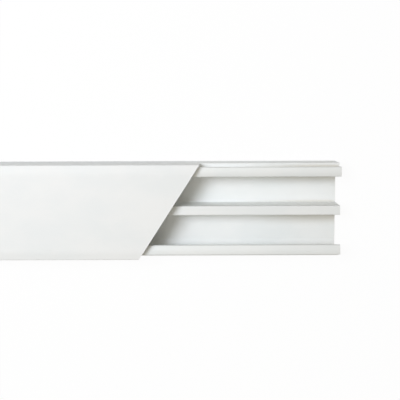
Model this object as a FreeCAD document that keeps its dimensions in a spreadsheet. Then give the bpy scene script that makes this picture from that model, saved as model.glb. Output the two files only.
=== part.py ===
import FreeCAD, Part
import Sketcher
import os

# Cord cover raceway: a two-channel base with a divider, and the cover that clips over its walls.
# X runs along the length, Y across the width, and Z rises from the back face to the cover.
# The origin is the middle of the back face. All sizes are in millimetres.

# Driving sizes: name, value, what it is
SIZES = [
    ("run_length", 400.0, "length of the base, one stock length"),
    ("trunk_width", 40.0, "outer width, over base and cover"),
    ("plate_thick", 1.2, "back plate"),
    ("wall_thick", 1.2, "side walls, ledge and upper walls"),
    ("ledge_height", 9.0, "outer wall, from the back face to the ledge that carries the cover"),
    ("upper_height", 4.0, "upper wall, from the ledge to the lip's face"),
    ("hook_height", 2.4, "height of the snap hook along the upper wall"),
    ("hook_reach", 0.45, "how far the hook stands out over the groove"),
    ("hook_slope", 0.25, "rise of the hook's underside"),
    ("lip_reach", 4.1, "lip, from the hook's outer face to its free edge"),
    ("lip_flat", 2.1, "flat outer part of the lip"),
    ("lip_fall", 0.4, "how far the lip's free edge leans back"),
    ("lip_blend", 8.0, "radius that blends the lip's flat part into its slope"),
    ("lip_thick", 1.2, "lip"),
    ("divider_thick", 1.2, "divider's web"),
    ("divider_drop", 1.8, "how far the divider's flange lies below the lips' faces"),
    ("flange_reach", 3.9, "width of the divider's flange, centred on the base"),
    ("flange_thick", 1.2, "divider's flange"),
    ("cover_thick", 1.2, "cover"),
    ("cover_rise", 1.8, "gap between the lips' faces and the cover's inner face"),
    ("side_clearance", 0.15, "gap between the cover's flange and the hook"),
    ("catch_clearance", 0.1, "gap between the cover's barb and the hook and groove"),
    ("barb_lead", 0.6, "rise of the sloping nose under the barb"),
    ("edge_band", 3.4, "sloping band along each long edge of the cover face"),
    ("edge_fall", 0.5, "how far that band falls to the edge"),
    ("band_blend", 14.0, "radius that blends the band into the cover face"),
    ("cover_corner", 0.5, "radius of the cover's long outer corners"),
    ("cover_setback", 59.4, "from the base's end to the cover's long point"),
    ("cut_angle", 57.4, "slanted cut, from the length, in degrees"),
    ("cut_margin", 5.0, "how far the cutting outline runs past the cover"),
    ("soft_edge", 0.3, "radius of the base's free edges and corners"),
    ("nose_edge", 0.12, "radius of the small snap edges"),
]

# Places worked out from the sizes, as expressions for the sheet
HALF_WIDTH = "Sizes.trunk_width / 2"
RIM = "Sizes.ledge_height + Sizes.upper_height"
WALL_INNER = "Sizes.trunk_width / 2 - Sizes.wall_thick"
HOOK_OUTER = "Sizes.trunk_width / 2 - Sizes.cover_thick - Sizes.side_clearance"
GROOVE = HOOK_OUTER + " - Sizes.hook_reach"
UPPER_INNER = GROOVE + " - Sizes.wall_thick"
HOOK_LOW = RIM + " - Sizes.hook_height"
HOOK_LOW_OUTER = HOOK_LOW + " + Sizes.hook_slope"
LIP_BEND = HOOK_OUTER + " - Sizes.lip_flat"
LIP_END = HOOK_OUTER + " - Sizes.lip_reach"
LIP_UNDER = RIM + " - Sizes.lip_thick"
LIP_END_TOP = RIM + " - Sizes.lip_fall"
LIP_END_UNDER = LIP_UNDER + " - Sizes.lip_fall"
LEDGE_UNDER = "Sizes.ledge_height - Sizes.wall_thick"
FLANGE_HALF = "Sizes.flange_reach / 2"
WEB_FAR = "Sizes.flange_reach / 2 - Sizes.divider_thick"
DIVIDER_TOP = RIM + " - Sizes.divider_drop"
FLANGE_UNDER = DIVIDER_TOP + " - Sizes.flange_thick"

# Places in the cover's own frame, whose Z is zero on its inner face, at the height COVER_SEAT
COVER_SEAT = RIM + " + Sizes.cover_rise"
COVER_INNER = "Sizes.trunk_width / 2 - Sizes.cover_thick"
BAND_START = "Sizes.trunk_width / 2 - Sizes.edge_band"
BAND_LOW = "Sizes.cover_thick - Sizes.edge_fall"
FLANGE_END = "-Sizes.cover_rise - Sizes.upper_height"
BARB_TIP = GROOVE + " + Sizes.catch_clearance"
BARB_TOP = "-Sizes.cover_rise - Sizes.hook_height - Sizes.catch_clearance"
BARB_ROOT_TOP = BARB_TOP + " + Sizes.hook_slope"
NOSE_TOP = FLANGE_END + " + Sizes.barb_lead"
NOSE_FOOT = BARB_TIP + " + Sizes.barb_lead"

doc = FreeCAD.newDocument("cord_cover_raceway")


def make_sheet():
    """The sheet of driving sizes, one row each."""
    sheet = doc.addObject("Spreadsheet::Sheet", "Sizes")
    for row, (name, value, meaning) in enumerate(SIZES, start=1):
        sheet.set("A%d" % row, name)
        sheet.set("B%d" % row, str(value))
        sheet.setAlias("B%d" % row, name)
        sheet.set("C%d" % row, meaning)
    doc.recompute()
    return sheet


def worked_out(expression):
    """The number that an expression on the sheet stands for."""
    return float(sheet.evalExpression(expression))


def opposite(expression):
    """The same distance on the other side of the centre."""
    return "-(" + expression + ")"


def mirrored(corners):
    """The corners of the opposite wall, in the order that carries the outline on."""
    return [(opposite(across), up) for across, up in reversed(corners)]


def origin_plane(body, role):
    """One of the body's own origin planes."""
    return [plane for plane in body.Origin.OriginFeatures if plane.Role == role][0]


def add_outline(body, name, role, corners):
    """A closed sketch of straight edges, with every corner tied to the sheet."""
    sketch = body.newObject("Sketcher::SketchObject", name)
    sketch.AttachmentSupport = [(origin_plane(body, role), "")]
    sketch.MapMode = "FlatFace"
    points = [FreeCAD.Vector(worked_out(across), worked_out(up), 0) for across, up in corners]
    for index, point in enumerate(points):
        following = points[(index + 1) % len(points)]
        sketch.addGeometry(Part.LineSegment(point, following), False)
    for index in range(len(points)):
        following = (index + 1) % len(points)
        sketch.addConstraint(Sketcher.Constraint("Coincident", index, 2, following, 1))
    for index, (across, up) in enumerate(corners):
        previous = corners[index - 1] if index > 0 else (None, None)
        tie_corner(sketch, index, "DistanceX", across, previous[0])
        tie_corner(sketch, index, "DistanceY", up, previous[1])
    return sketch


def tie_corner(sketch, index, direction, expression, previous):
    """Ties one coordinate of a corner, or keeps its edge level or upright with the last corner."""
    if expression == "0":
        sketch.addConstraint(Sketcher.Constraint("PointOnObject", index, 1, -1))
    elif expression == previous:
        straight = "Vertical" if direction == "DistanceX" else "Horizontal"
        sketch.addConstraint(Sketcher.Constraint(straight, index - 1))
    else:
        distance = worked_out(expression)
        rule = Sketcher.Constraint(direction, -1, 1, index, 1, distance)
        number = sketch.addConstraint(rule)
        sketch.setExpression("Constraints[%d]" % number, expression)


def extrude(body, name, sketch):
    """The section drawn out to the stock length, half of it each way from the middle."""
    pad = body.newObject("PartDesign::Pad", name)
    pad.Profile = sketch
    pad.SideType = "Symmetric"
    pad.setExpression("Length", "Sizes.run_length")
    sketch.Visibility = False
    doc.recompute()
    return pad


def round_long_edges(body, name, corners, radius):
    """Rounds the lengthwise edges that run through the given corners of the section."""
    base = body.Tip
    places = [(worked_out(across), worked_out(up)) for across, up in corners]
    edges = []
    for number, edge in enumerate(base.Shape.Edges, start=1):
        start = edge.Vertexes[0].Point
        lengthwise = abs(edge.Vertexes[-1].Point.x - start.x) > 1.0
        for across, up in places:
            if lengthwise and abs(start.y - across) < 1e-4 and abs(start.z - up) < 1e-4:
                edges.append("Edge%d" % number)
    if len(edges) != len(places):
        raise RuntimeError(name + ": some of its edges were not found")
    fillet = body.newObject("PartDesign::Fillet", name)
    fillet.Base = (base, edges)
    fillet.setExpression("Radius", radius)
    doc.recompute()
    return fillet


def make_base_channel():
    """Back plate, stepped walls with hooks and lips, and the divider: one extrusion."""
    wall = [
        (HALF_WIDTH, "0"),
        (HALF_WIDTH, "Sizes.ledge_height"),
        (GROOVE, "Sizes.ledge_height"),
        (GROOVE, HOOK_LOW),
        (HOOK_OUTER, HOOK_LOW_OUTER),
        (HOOK_OUTER, RIM),
        (LIP_BEND, RIM),
        (LIP_END, LIP_END_TOP),
        (LIP_END, LIP_END_UNDER),
        (UPPER_INNER, LIP_UNDER),
        (UPPER_INNER, LEDGE_UNDER),
        (WALL_INNER, LEDGE_UNDER),
        (WALL_INNER, "Sizes.plate_thick"),
    ]
    divider = [
        (FLANGE_HALF, "Sizes.plate_thick"),
        (FLANGE_HALF, DIVIDER_TOP),
        (opposite(FLANGE_HALF), DIVIDER_TOP),
        (opposite(FLANGE_HALF), FLANGE_UNDER),
        (WEB_FAR, FLANGE_UNDER),
        (WEB_FAR, "Sizes.plate_thick"),
    ]
    body = doc.addObject("PartDesign::Body", "BaseChannel")
    body.Label = "base_channel"
    section = add_outline(body, "BaseSection", "YZ_Plane", wall + divider + mirrored(wall))
    extrude(body, "BaseExtrusion", section)

    small = [wall[3], wall[4]]
    bend = [wall[6]]
    free = [wall[1], wall[5], wall[7], wall[8]]
    inner = [wall[9], wall[10], wall[11], wall[12]]
    radius = "min(Sizes.soft_edge; Sizes.wall_thick / 4; Sizes.lip_thick / 4)"
    nose_radius = "min(Sizes.nose_edge; Sizes.hook_reach / 3)"
    blend_radius = "min(Sizes.lip_blend; (Sizes.lip_reach - Sizes.lip_flat)^2 / Sizes.lip_fall)"
    round_long_edges(body, "BlendedLips", bend + mirrored(bend), blend_radius)
    round_long_edges(body, "SoftWalls", free + inner + mirrored(free + inner), radius)
    divider_radius = "min(Sizes.soft_edge; Sizes.divider_thick / 4; Sizes.flange_thick / 4)"
    round_long_edges(body, "SoftDivider", divider, divider_radius)
    round_long_edges(body, "SoftHooks", small + mirrored(small), nose_radius)
    return body


def make_cover():
    """Cover face with two flanges and their barbs, cut off at a slant at one end."""
    flange = [
        (BARB_TIP, NOSE_TOP),
        (NOSE_FOOT, FLANGE_END),
        (HALF_WIDTH, FLANGE_END),
        (HALF_WIDTH, BAND_LOW),
        (BAND_START, "Sizes.cover_thick"),
    ]
    inside = [
        (COVER_INNER, "0"),
        (COVER_INNER, BARB_ROOT_TOP),
        (BARB_TIP, BARB_TOP),
    ]
    body = doc.addObject("PartDesign::Body", "Cover")
    body.Label = "cover"
    outline = flange + mirrored(flange) + mirrored(inside) + inside
    section = add_outline(body, "CoverSection", "YZ_Plane", outline)
    extrude(body, "CoverExtrusion", section)

    outer = [flange[3], opposite_corner(flange[3])]
    bends = [flange[4], opposite_corner(flange[4])]
    ends = [flange[2], opposite_corner(flange[2])]
    inner = [inside[0], opposite_corner(inside[0])]
    noses = [flange[0], inside[2], opposite_corner(flange[0]), opposite_corner(inside[2])]
    round_long_edges(body, "BlendedBands", bends, "Sizes.band_blend")
    round_long_edges(body, "OuterCorners", outer, "min(Sizes.cover_corner; Sizes.cover_thick / 2)")
    round_long_edges(body, "FlangeEnds", ends + inner, "min(Sizes.soft_edge; Sizes.cover_thick / 4)")
    round_long_edges(body, "BarbNoses", noses, "min(Sizes.nose_edge; Sizes.barb_lead / 4)")
    cut_slanted_end(body)

    seat = FreeCAD.Vector(0, 0, worked_out(COVER_SEAT))
    body.Placement = FreeCAD.Placement(seat, FreeCAD.Rotation())
    body.setExpression(".Placement.Base.z", COVER_SEAT)
    return body


def opposite_corner(corner):
    """The same corner of the section on the other side."""
    return (opposite(corner[0]), corner[1])


def cut_slanted_end(body):
    """Cuts the cover back at a slant, so that the base shows beyond it."""
    past_edge = "Sizes.trunk_width / 2 + Sizes.cut_margin"
    past_end = "Sizes.run_length / 2 + Sizes.cut_margin"
    long_point = "Sizes.run_length / 2 - Sizes.cover_setback"
    cut_start = long_point + " + Sizes.cut_margin / tan(Sizes.cut_angle)"
    cut_finish = long_point + " - (Sizes.trunk_width + Sizes.cut_margin) / tan(Sizes.cut_angle)"
    corners = [
        (cut_start, past_edge),
        (cut_finish, opposite(past_edge)),
        (past_end, opposite(past_edge)),
        (past_end, past_edge),
    ]
    whole = body.Tip.Shape.Volume
    sketch = add_outline(body, "SlantedCut", "XY_Plane", corners)
    pocket = body.newObject("PartDesign::Pocket", "SlantedEnd")
    pocket.Profile = sketch
    pocket.Type = "ThroughAll"
    pocket.SideType = "Symmetric"
    sketch.Visibility = False
    doc.recompute()
    setback = worked_out("Sizes.cover_setback + Sizes.trunk_width / 2 / tan(Sizes.cut_angle)")
    expected = whole * (1 - setback / worked_out("Sizes.run_length"))
    if abs(pocket.Shape.Volume - expected) > 0.01 * expected:
        raise RuntimeError("the slanted cut took the wrong amount of the cover")


def check_document(bodies):
    """Stops if an object of the document failed or a sub-part has no sound solid."""
    for item in doc.Objects:
        if "Invalid" in item.State or "Error" in item.State:
            raise RuntimeError(item.Name + " failed to build")
    for body in bodies:
        if body.Shape.isNull() or not body.Shape.isValid() or len(body.Shape.Solids) != 1:
            raise RuntimeError(body.Label + " has no sound solid")


sheet = make_sheet()
sub_parts = [make_base_channel(), make_cover()]
doc.recompute()
check_document(sub_parts)
os.makedirs("parts", exist_ok=True)
for sub_part in sub_parts:
    sub_part.Shape.exportStep("parts/" + sub_part.Label + ".step")
    box = sub_part.Shape.BoundBox
    print(sub_part.Label, "volume", round(sub_part.Shape.Volume, 1), "box", box)
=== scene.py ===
import math

import bpy
from mathutils import Euler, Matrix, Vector


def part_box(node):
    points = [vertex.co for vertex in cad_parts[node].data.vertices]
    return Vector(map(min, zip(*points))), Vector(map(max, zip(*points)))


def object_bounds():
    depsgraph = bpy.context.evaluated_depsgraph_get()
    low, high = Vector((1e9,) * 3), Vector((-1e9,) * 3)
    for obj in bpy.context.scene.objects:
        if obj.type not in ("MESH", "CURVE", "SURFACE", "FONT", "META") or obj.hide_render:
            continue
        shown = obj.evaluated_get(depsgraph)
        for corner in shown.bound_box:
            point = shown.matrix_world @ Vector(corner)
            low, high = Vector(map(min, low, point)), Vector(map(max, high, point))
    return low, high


# Cord cover raceway of white rigid PVC: a two-channel base and the cover that clips over its walls,
# cut back at a slant at one end. It lies on its back and is seen from above in soft studio light.

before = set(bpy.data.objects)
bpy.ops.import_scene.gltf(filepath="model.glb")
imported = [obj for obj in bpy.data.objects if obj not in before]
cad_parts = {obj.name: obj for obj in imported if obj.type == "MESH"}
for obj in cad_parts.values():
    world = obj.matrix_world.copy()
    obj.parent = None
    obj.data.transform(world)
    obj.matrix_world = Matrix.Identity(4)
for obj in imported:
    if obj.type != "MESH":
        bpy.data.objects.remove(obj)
cad_low, cad_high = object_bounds()
cover_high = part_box("cover")[1]

MM = 0.001
OPEN_END = cad_high.x  # the end where the base shows beyond the cover
SIDE = cover_high.y  # from the part's middle plane to the outside of a wall
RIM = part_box("base_channel")[1].z  # height of the lips' faces
WALL = 1.2 * MM
LIP_MIDDLE = 16.6 * MM  # from the middle plane to the middle of a lip
LIP_HALF = 2.05 * MM

# The cover's slanted cut: its angle from the length, its outward direction and its long point
CUT_ANGLE = math.radians(57.4)
CUT_OUTWARD = Vector((math.sin(CUT_ANGLE), -math.cos(CUT_ANGLE), 0.0))
CUT_POINT = Vector((cover_high.x, cover_high.y, 0.0))

# Camera: above the open end, tilted a little towards the lower long edge
LENS_MM = 48.55
SENSOR_MM = 36.0
FRAME_SHIFT = (-0.03, -0.12)
CAMERA_FROM_END = Vector((-54.08, 44.50, 236.72)) * MM
CAMERA_TURN = (-4.95, 0.0, -0.18)  # degrees

# Light: one large soft lamp from the upper left, and a slightly warm white room, brighter overhead
LIT_POINT = Vector((OPEN_END - 70.0 * MM, 0.0, RIM))
KEY_HEIGHT = 0.45
KEY_SLOPE = (-0.475, 0.315)  # how far the lamp stands off sideways for each metre of height
KEY_AIM = 0.10  # how far beyond the lit point the lamp looks, so that the cover isn't overlit
KEY_RADIUS = 0.12
KEY_LEVEL = 0.612  # share of the plain level that the lamp gives to a level face at the lit point
KEY_COLOUR = (0.875, 0.920, 1.0)
ROOM_LEVEL = 0.44  # share of the plain level that the room gives to a level face
ROOM_COLOUR = (1.0, 0.938, 0.80)
ROOM_OVERHEAD = 0.57  # share of the room's light that grows from none at the horizon to most overhead

# Floor: a pale round table top that fades into the white room
FLOOR_RADIUS = 3.0
FLOOR_SIDES = 96
FLOOR_FADE = (0.25, 0.7)  # from where to where its own shading fades out
FLOOR_DROP = 0.05 * MM
FLOOR_SHADING = 0.055  # share of its own shading, shadows included, that the camera sees
FLOOR_WHITE = (0.97, 0.97, 0.97)
FLOOR_MOTTLE = 0.985  # how much darker its mottling is
FLOOR_BOUNCE = (0.62, 0.63, 0.64)  # the table top's own colour, by which it lights the part

# Colours of the two extrusions, what use has made of them, and the shade painted on the base
COVER_WHITE = (0.850, 0.853, 0.855)
# The base's white is set brighter than the cover's, partly painted light that makes up for the shade in its
# channels
BASE_WHITE = (0.925, 0.935, 0.935)
COOL_SHARE = (0.962, 0.976, 0.972)  # of its white, the cooler and the warmer tone of the mottling
WARM_SHARE = (1.010, 1.008, 0.998)
CHALK_SHARE = 1.035  # of its white, where the plastic is rubbed or sawn
SPECK_SHARE = 0.45  # how far the cool tone shows in specks and in die lines
LINE_SHARE = 0.35
WORN_SHARE = 0.6  # how far the chalky tone shows where edges are rubbed and along the rim of the cut
RIM_SHARE = 0.85
CUT_RIM = (-0.55 * MM, -0.20 * MM)  # where that rim sets in, measured out from the cut
COVER_PATTERN = (0.31, 0.17, 0.05)  # shifts the cover's noise, so that it isn't the base's
BASE_PATTERN = (0.0, 0.0, 0.0)
RAISED_PAINTED_SHADE = 0.93  # painted shade: how much darker the base's raised faces are made
RAISED_FROM = (8.0 * MM, 11.0 * MM)  # the heights between which this sets in
END_PAINTED_SHADE = 0.96  # painted shade: how much darker the base is made at its open end, and over what length this fades
END_REACH = 60.0 * MM
WALL_SHADE = (0.822, 0.838, 0.838)  # painted shade on the base's outer walls below the cover
WALL_SHADE_FADE = (-16.0 * MM, 4.0 * MM)  # where it fades out, measured out from the cover's cut

# Painted shade in the base, in its inner corners and in lanes on its plate, which fades out from its open
# end towards the cover
SHADE_TONE = (0.69, 0.665, 0.60)
SHADE_TONE_REACH = (48.0 * MM, 8.0 * MM)  # from where to where it strengthens, measured in from the open end
CORNER_REACH = 2.5 * MM  # how near to each other the faces of a corner with painted shade are
UPPER_LANE = 14.5 * MM  # from the middle plane to where the painted shadow below the upper lip is at its darkest
LOWER_LANE = 4.5 * MM  # the same below the divider's flange, on the other side of the middle plane
LANE_FADE = 5.0 * MM
LANE_SHADE_TONE = 0.62
PLATE_TOP = (2.0 * MM, 3.0 * MM)  # the lanes lie lower than this

# Grains a metre along X, Y and Z
CLOUDS = (45.0, 70.0, 70.0)
SPECKS = (420.0, 520.0, 520.0)
DIE_LINES = (6.0, 1500.0, 1500.0)
WAVES = (9.0, 160.0, 160.0)
GRAIN = (5200.0, 5200.0, 5200.0)
SCUFFS = (28.0, 1900.0, 1900.0)
WORN_PATCHES = (90.0, 400.0, 400.0)
SAW_MARKS = (3500.0, 1.0, 1.0)  # X is here the distance from the middle of the saw blade
FLOOR_GRAIN = (40.0, 40.0, 40.0)

# Relief heights, the rounding of edges, and the middle of the saw blade that left the curved marks
WAVE_HEIGHT = 0.020 * MM
DIE_HEIGHT = 0.006 * MM
GRAIN_HEIGHT = 0.0025 * MM
SCUFF_HEIGHT = -0.004 * MM
SAW_HEIGHT = 0.050 * MM
CROWN_HEIGHT = 0.20 * MM
BASE_ROUNDING = 0.2 * MM
WORN_ROUNDING = 0.35 * MM
BLADE_MIDDLE = (0.0, 0.06, -0.11)

# Roughness of the satin skin, what each trace of use adds to it, and the plastic's refraction
SATIN = (0.54, 0.60)
DIE_ROUGHNESS = 0.05
SCUFF_ROUGHNESS = 0.14
WORN_ROUGHNESS = 0.10
SAWN_ROUGHNESS = 0.25
PVC_IOR = 1.53


def node(tree, kind, inputs=None, **settings):
    """A new node with its settings, whose inputs are set to values or linked to other nodes' outputs."""
    made = tree.nodes.new(kind)
    for name, value in settings.items():
        setattr(made, name, value)
    for name, value in (inputs or {}).items():
        if isinstance(value, bpy.types.NodeSocket):
            tree.links.new(value, made.inputs[name])
        else:
            made.inputs[name].default_value = value
    return made


def maths(tree, operation, first, second=0.0, third=0.0):
    """The result of one sum on numbers or outputs."""
    made = node(tree, "ShaderNodeMath", {0: first, 1: second, 2: third}, operation=operation)
    return made.outputs[0]


def vectors(tree, operation, first, second=(0.0, 0.0, 0.0), result="Vector"):
    """The result of one operation on vectors: a vector or, where result is Value, a number."""
    made = node(tree, "ShaderNodeVectorMath", {0: first, 1: second}, operation=operation)
    return made.outputs[result]


def ramp(tree, value, low, high, start=0.0, finish=1.0):
    """Follows value smoothly from start, where it is low, to finish, where it is high."""
    limits = {"Value": value, "From Min": low, "From Max": high, "To Min": start, "To Max": finish}
    made = node(tree, "ShaderNodeMapRange", limits, interpolation_type="SMOOTHSTEP")
    return made.outputs["Result"]


def noise(tree, place, scale, detail=3.0, roughness=0.5):
    """Soft noise with so many grains a metre along X, Y and Z."""
    scaled = vectors(tree, "MULTIPLY", place, scale)
    grain = {"Vector": scaled, "Scale": 1.0, "Detail": detail, "Roughness": roughness}
    return node(tree, "ShaderNodeTexNoise", grain).outputs["Fac"]


def blend(tree, share, first, second):
    """The mix of two colours, of which share is the second."""
    made = node(tree, "ShaderNodeMix", {"Factor": share}, data_type="RGBA")
    for socket, value in (("A", first), ("B", second)):
        target = [entry for entry in made.inputs if entry.name == socket and entry.type == "RGBA"][0]
        if isinstance(value, bpy.types.NodeSocket):
            tree.links.new(value, target)
        else:
            target.default_value = (*value, 1.0)
    return [entry for entry in made.outputs if entry.type == "RGBA"][0]


def bump(tree, height, distance, strength=1.0, normal=None):
    """A relief of that height in metres, over the relief below it."""
    inputs = {"Height": height, "Distance": distance, "Strength": strength}
    if normal is not None:
        inputs["Normal"] = normal
    return node(tree, "ShaderNodeBump", inputs).outputs["Normal"]


def new_tree(name):
    """A new material and its empty node tree."""
    material = bpy.data.materials.new(name)
    material.use_nodes = True
    material.node_tree.nodes.clear()
    return material, material.node_tree


def sawn_faces(tree, place):
    """Share of saw cut in a face, by its direction, and the saw's curved marks on it."""
    facing = node(tree, "ShaderNodeNewGeometry").outputs["True Normal"]
    square = maths(tree, "ABSOLUTE", vectors(tree, "DOT_PRODUCT", facing, (1.0, 0.0, 0.0), "Value"))
    slant = vectors(tree, "DOT_PRODUCT", facing, CUT_OUTWARD, "Value")
    flat = vectors(tree, "MULTIPLY", place, (0.0, 1.0, 1.0))
    reach = vectors(tree, "DISTANCE", flat, BLADE_MIDDLE, "Value")
    rings = node(tree, "ShaderNodeCombineXYZ", {"X": reach}).outputs[0]
    return ramp(tree, maths(tree, "MAXIMUM", square, slant), 0.75, 0.85), noise(tree, rings, SAW_MARKS, 2.0)


def edge_wear(tree, place):
    """Share of rubbed plastic along the edges: where the rounded normal leaves the face's own."""
    rounded = node(tree, "ShaderNodeBevel", {"Radius": WORN_ROUNDING}, samples=6).outputs[0]
    facing = node(tree, "ShaderNodeNewGeometry").outputs["Normal"]
    edge = ramp(tree, vectors(tree, "DOT_PRODUCT", rounded, facing, "Value"), 0.995, 0.93)
    patches = ramp(tree, noise(tree, place, WORN_PATCHES, 4.0), 0.40, 0.62)
    return maths(tree, "MULTIPLY", edge, patches)


def painted_shade_corners(tree):
    """Share of painted shade in the inner corners of a piece, where its own faces close in on each other."""
    hollow = node(tree, "ShaderNodeAmbientOcclusion", {"Distance": CORNER_REACH}, samples=8, only_local=True)
    return ramp(tree, hollow.outputs["AO"], 0.82, 0.50)


def painted_shadow_lanes(tree, across, up):
    """Share of painted shadow on the back plate, in the lanes below the upper lip and below the divider's
    flange.
    """
    below_lip = ramp(tree, across, UPPER_LANE - LANE_FADE, UPPER_LANE)
    inside = ramp(tree, across, SIDE - WALL, SIDE - WALL + 0.2 * MM, 1.0, 0.0)
    below_flange = ramp(tree, across, -LOWER_LANE - LANE_FADE, -LOWER_LANE)
    lower_channel = ramp(tree, across, -0.5 * MM, 0.0, 1.0, 0.0)
    upper_lane = maths(tree, "MULTIPLY", below_lip, inside)
    lower_lane = maths(tree, "MULTIPLY", below_flange, lower_channel)
    on_plate = ramp(tree, up, *PLATE_TOP, LANE_SHADE_TONE, 0.0)
    return maths(tree, "MULTIPLY", maths(tree, "MAXIMUM", upper_lane, lower_lane), on_plate)


def lip_crown(tree, place):
    """Height, from 0 to 1, of the slight crown across each lip of the base."""
    across = maths(tree, "ABSOLUTE", node(tree, "ShaderNodeSeparateXYZ", {0: place}).outputs["Y"])
    offset = maths(tree, "DIVIDE", maths(tree, "SUBTRACT", across, LIP_MIDDLE), LIP_HALF)
    return maths(tree, "MAXIMUM", maths(tree, "SUBTRACT", 1.0, maths(tree, "POWER", offset, 2.0)), 0.0)


def beyond_cut(tree, place):
    """How far a place lies beyond the cover's slanted cut, in metres."""
    return vectors(tree, "DOT_PRODUCT", vectors(tree, "SUBTRACT", place, CUT_POINT), CUT_OUTWARD, "Value")


def cover_traces(tree, colour, place, chalk):
    """The cover's colour, paler along the rim of its slanted cut."""
    rim = ramp(tree, beyond_cut(tree, place), *CUT_RIM)
    return blend(tree, maths(tree, "MULTIPLY", rim, RIM_SHARE), colour, chalk)


def base_painted_shade(tree, colour, place):
    """The base's colour with painted shade: darker outside below the cover, on its raised faces and towards
    its open end, and in its inner corners and in lanes on its plate.
    """
    axes = node(tree, "ShaderNodeSeparateXYZ", {0: place}).outputs
    # Painted shade: the outer walls are made darker below the cover
    shaded_by_cover = ramp(tree, beyond_cut(tree, place), *WALL_SHADE_FADE, 1.0, 0.0)
    outside = ramp(tree, maths(tree, "ABSOLUTE", axes["Y"]), SIDE - 0.8 * MM, SIDE - 0.3 * MM)
    colour = blend(tree, maths(tree, "MULTIPLY", shaded_by_cover, outside), colour, WALL_SHADE)

    # Painted shade: the raised faces and the open end are made darker
    raised = ramp(tree, axes["Z"], *RAISED_FROM, 1.0, RAISED_PAINTED_SHADE)
    end = ramp(tree, axes["X"], OPEN_END - END_REACH, OPEN_END, 1.0, END_PAINTED_SHADE)
    painted_shade_scale = {0: colour, "Scale": maths(tree, "MULTIPLY", raised, end)}
    colour = node(tree, "ShaderNodeVectorMath", painted_shade_scale, operation="SCALE").outputs[0]

    # Painted shade in the inner corners and in lanes on the plate, strongest towards the open end
    open_part = ramp(tree, axes["X"], OPEN_END - SHADE_TONE_REACH[0], OPEN_END - SHADE_TONE_REACH[1])
    painted_shade = maths(tree, "MAXIMUM", painted_shade_corners(tree), painted_shadow_lanes(tree, axes["Y"], axes["Z"]))
    return blend(tree, maths(tree, "MULTIPLY", painted_shade, open_part), colour, SHADE_TONE)


def rigid_pvc(name, white, shift, is_cover):
    """Extruded satin PVC: faint mottling, die lines along the length, fine scuffs and sawn ends."""
    material, tree = new_tree(name)
    raw = node(tree, "ShaderNodeTexCoord").outputs["Object"]
    place = vectors(tree, "ADD", raw, shift)

    clouds = noise(tree, place, CLOUDS, 4.0, 0.55)
    specks = noise(tree, place, SPECKS, 3.0, 0.6)
    die_lines = noise(tree, place, DIE_LINES, 3.0, 0.65)
    waves = noise(tree, place, WAVES, 2.0)
    grain = noise(tree, place, GRAIN, 2.0)
    scuffs = ramp(tree, noise(tree, place, SCUFFS, 4.0, 0.7), 0.66, 0.78)
    sawn, marks = sawn_faces(tree, place)
    worn = edge_wear(tree, place)

    cool = tuple(level * share for level, share in zip(white, COOL_SHARE))
    warm = tuple(level * share for level, share in zip(white, WARM_SHARE))
    chalk = tuple(min(1.0, level * CHALK_SHARE) for level in white)
    colour = blend(tree, ramp(tree, clouds, 0.30, 0.70), cool, warm)
    colour = blend(tree, ramp(tree, specks, 0.38, 0.24, 0.0, SPECK_SHARE), colour, cool)
    colour = blend(tree, ramp(tree, die_lines, 0.62, 0.80, 0.0, LINE_SHARE), colour, cool)
    colour = blend(tree, maths(tree, "MULTIPLY", worn, WORN_SHARE), colour, chalk)
    if is_cover:
        colour = cover_traces(tree, colour, raw, chalk)
    else:
        colour = base_painted_shade(tree, colour, raw)
    colour = blend(tree, maths(tree, "MULTIPLY", sawn, ramp(tree, marks, 0.3, 0.7, 0.3, 1.0)), colour, chalk)

    rough = ramp(tree, clouds, 0.25, 0.75, *SATIN)
    rough = maths(tree, "ADD", rough, ramp(tree, die_lines, 0.4, 0.8, 0.0, DIE_ROUGHNESS))
    for trace, added in ((scuffs, SCUFF_ROUGHNESS), (worn, WORN_ROUGHNESS), (sawn, SAWN_ROUGHNESS)):
        rough = maths(tree, "ADD", rough, maths(tree, "MULTIPLY", trace, added))

    soft = None
    if not is_cover:
        soft = node(tree, "ShaderNodeBevel", {"Radius": BASE_ROUNDING}, samples=8).outputs[0]
        soft = bump(tree, lip_crown(tree, raw), CROWN_HEIGHT, 1.0, soft)
    relief = bump(tree, waves, WAVE_HEIGHT, 0.8, soft)
    relief = bump(tree, die_lines, DIE_HEIGHT, maths(tree, "SUBTRACT", 1.0, sawn), relief)
    relief = bump(tree, grain, GRAIN_HEIGHT, 0.8, relief)
    relief = bump(tree, scuffs, SCUFF_HEIGHT, 0.7, relief)
    relief = bump(tree, marks, SAW_HEIGHT, sawn, relief)

    finish = {"Base Color": colour, "Roughness": rough, "Normal": relief, "IOR": PVC_IOR}
    skin = node(tree, "ShaderNodeBsdfPrincipled", finish)
    node(tree, "ShaderNodeOutputMaterial", {"Surface": skin.outputs[0]})
    return material


def dress(name, material):
    """Gives a piece of the frame its material in place of the plain one."""
    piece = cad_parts[name]
    for entry in piece.material_slots:
        entry.material = material


def make_camera():
    """The photograph's view: from above the open end, with the frame shifted to show the length."""
    data = bpy.data.cameras.new("photo_camera")
    data.lens = LENS_MM
    data.sensor_width = SENSOR_MM
    data.shift_x, data.shift_y = FRAME_SHIFT
    camera = bpy.data.objects.new("photo_camera", data)
    camera.location = Vector((OPEN_END, 0.0, 0.0)) + CAMERA_FROM_END
    camera.rotation_euler = Euler([math.radians(turn) for turn in CAMERA_TURN], "XYZ")
    bpy.context.scene.collection.objects.link(camera)
    bpy.context.scene.camera = camera


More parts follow.
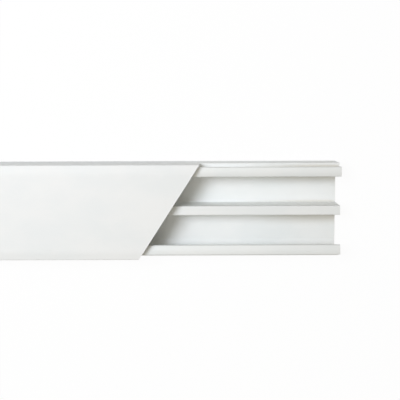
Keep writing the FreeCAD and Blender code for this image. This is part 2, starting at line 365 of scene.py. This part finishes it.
def make_key():
    """The soft lamp, as strong as its share of the plain level needs."""
    stand = LIT_POINT + Vector((*KEY_SLOPE, 1.0)) * KEY_HEIGHT
    reach = stand - LIT_POINT
    aim = stand - (LIT_POINT + Vector((KEY_AIM, 0.0, 0.0)))
    data = bpy.data.lights.new("soft_key", "AREA")
    data.shape = "DISK"
    data.size = 2 * KEY_RADIUS
    data.color = KEY_COLOUR
    # At the plain level a level face receives pi watts a square metre
    turned = reach.normalized().dot(aim.normalized())
    data.energy = KEY_LEVEL * math.pi ** 2 * reach.length ** 3 / (reach.z * turned)
    lamp = bpy.data.objects.new("soft_key", data)
    lamp.location = stand
    lamp.rotation_euler = (-aim).to_track_quat("-Z", "Y").to_euler()
    lamp.visible_camera = False
    bpy.context.scene.collection.objects.link(lamp)


def seen_white(tree):
    """Share 1 for rays from the camera, from reflections and through glass, and 0 for light itself."""
    path = node(tree, "ShaderNodeLightPath")
    seen = maths(tree, "MAXIMUM", path.outputs["Is Camera Ray"], path.outputs["Is Glossy Ray"])
    return maths(tree, "MAXIMUM", seen, path.outputs["Is Transmission Ray"])


def make_room():
    """A white room, which lights at its own level, most from overhead, and is seen as plain white."""
    world = bpy.data.worlds.new("white_room")
    world.use_nodes = True
    tree = world.node_tree
    tree.nodes.clear()
    direction = node(tree, "ShaderNodeTexCoord").outputs["Generated"]
    rise = maths(tree, "MAXIMUM", node(tree, "ShaderNodeSeparateXYZ", {0: direction}).outputs["Z"], 0.0)
    from_above = 1.5 * ROOM_OVERHEAD * ROOM_LEVEL  # times rise, this lights a level face at that share
    strength = maths(tree, "MULTIPLY_ADD", rise, from_above, (1.0 - ROOM_OVERHEAD) * ROOM_LEVEL)
    light = node(tree, "ShaderNodeBackground", {"Color": (*ROOM_COLOUR, 1.0), "Strength": strength})
    white = node(tree, "ShaderNodeBackground", {"Color": (1.0, 1.0, 1.0, 1.0), "Strength": 1.0})
    parts = {0: seen_white(tree), 1: light.outputs[0], 2: white.outputs[0]}
    mixed = node(tree, "ShaderNodeMixShader", parts)
    node(tree, "ShaderNodeOutputWorld", {"Surface": mixed.outputs[0]})
    bpy.context.scene.world = world


def make_floor():
    """The round table top under the part, which keeps a faint shadow of it and fades into the room."""
    material, tree = new_tree("pale_floor")
    place = node(tree, "ShaderNodeTexCoord").outputs["Object"]
    away = vectors(tree, "LENGTH", place, result="Value")
    own = ramp(tree, away, *FLOOR_FADE, FLOOR_SHADING, 0.0)
    looking = seen_white(tree)
    seen = maths(tree, "MULTIPLY", looking, maths(tree, "SUBTRACT", 1.0, own))
    tone = noise(tree, place, FLOOR_GRAIN, 3.0)
    paper = blend(tree, tone, FLOOR_WHITE, tuple(level * FLOOR_MOTTLE for level in FLOOR_WHITE))
    paper = blend(tree, looking, FLOOR_BOUNCE, paper)
    matt = node(tree, "ShaderNodeBsdfDiffuse", {"Color": paper})
    white = node(tree, "ShaderNodeEmission", {"Color": (1.0, 1.0, 1.0, 1.0), "Strength": 1.0})
    mixed = node(tree, "ShaderNodeMixShader", {0: seen, 1: matt.outputs[0], 2: white.outputs[0]})
    node(tree, "ShaderNodeOutputMaterial", {"Surface": mixed.outputs[0]})

    middle = (0.0, 0.0, cad_low.z - FLOOR_DROP)
    bpy.ops.mesh.primitive_circle_add(
        vertices=FLOOR_SIDES, radius=FLOOR_RADIUS, fill_type="NGON", location=middle
    )
    floor = bpy.context.object
    floor.name = "floor"
    floor.data.materials.append(material)


bpy.context.scene.view_settings.view_transform = "Standard"
make_camera()
make_key()
make_room()
make_floor()
dress("cover", rigid_pvc("cover_white_pvc", COVER_WHITE, COVER_PATTERN, True))
dress("base_channel", rigid_pvc("base_white_pvc", BASE_WHITE, BASE_PATTERN, False))
